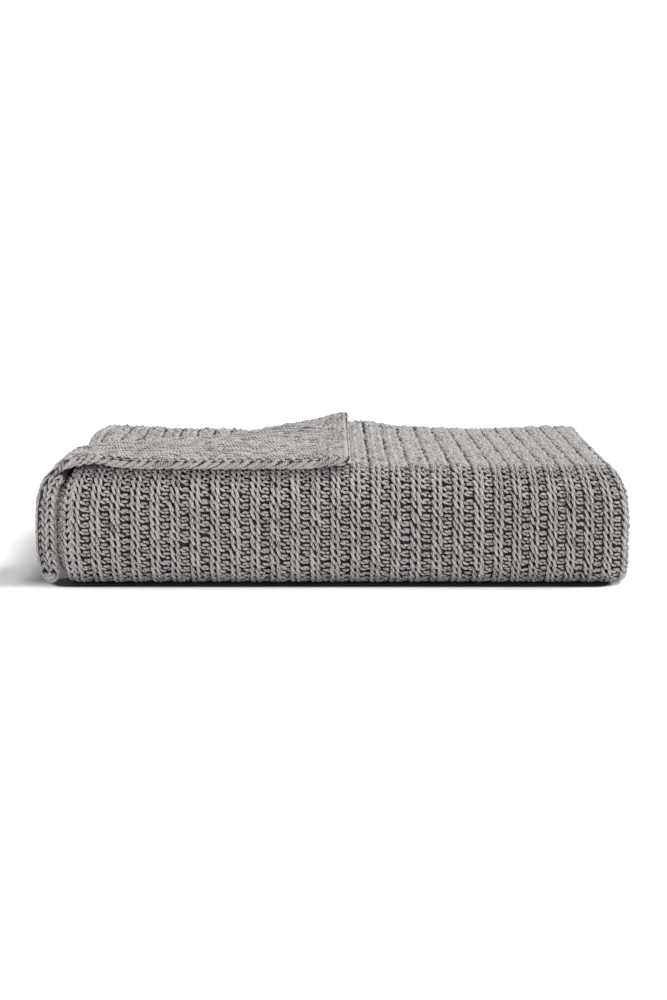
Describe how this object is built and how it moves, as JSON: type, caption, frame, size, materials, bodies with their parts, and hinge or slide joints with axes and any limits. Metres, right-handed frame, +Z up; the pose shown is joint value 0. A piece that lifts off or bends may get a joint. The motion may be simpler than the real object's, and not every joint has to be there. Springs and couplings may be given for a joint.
{
  "type": "throw blanket",
  "caption": "Folded chunky rib-knit throw blanket, one top corner turned over and draped down the left end.",
  "frame": {"origin": "centre of the bounding box on the underside, where the folded throw rests", "axes": "+X to the viewer's right along the long front fold, +Y to the back, +Z up through the layers"},
  "size_m": [0.5112, 0.3328, 0.1179],
  "materials": {
    "knit": "matte light grey chunky knit"
  },
  "bodies": {
    "root": {"throw": "knit"}
  },
  "joints": []
}
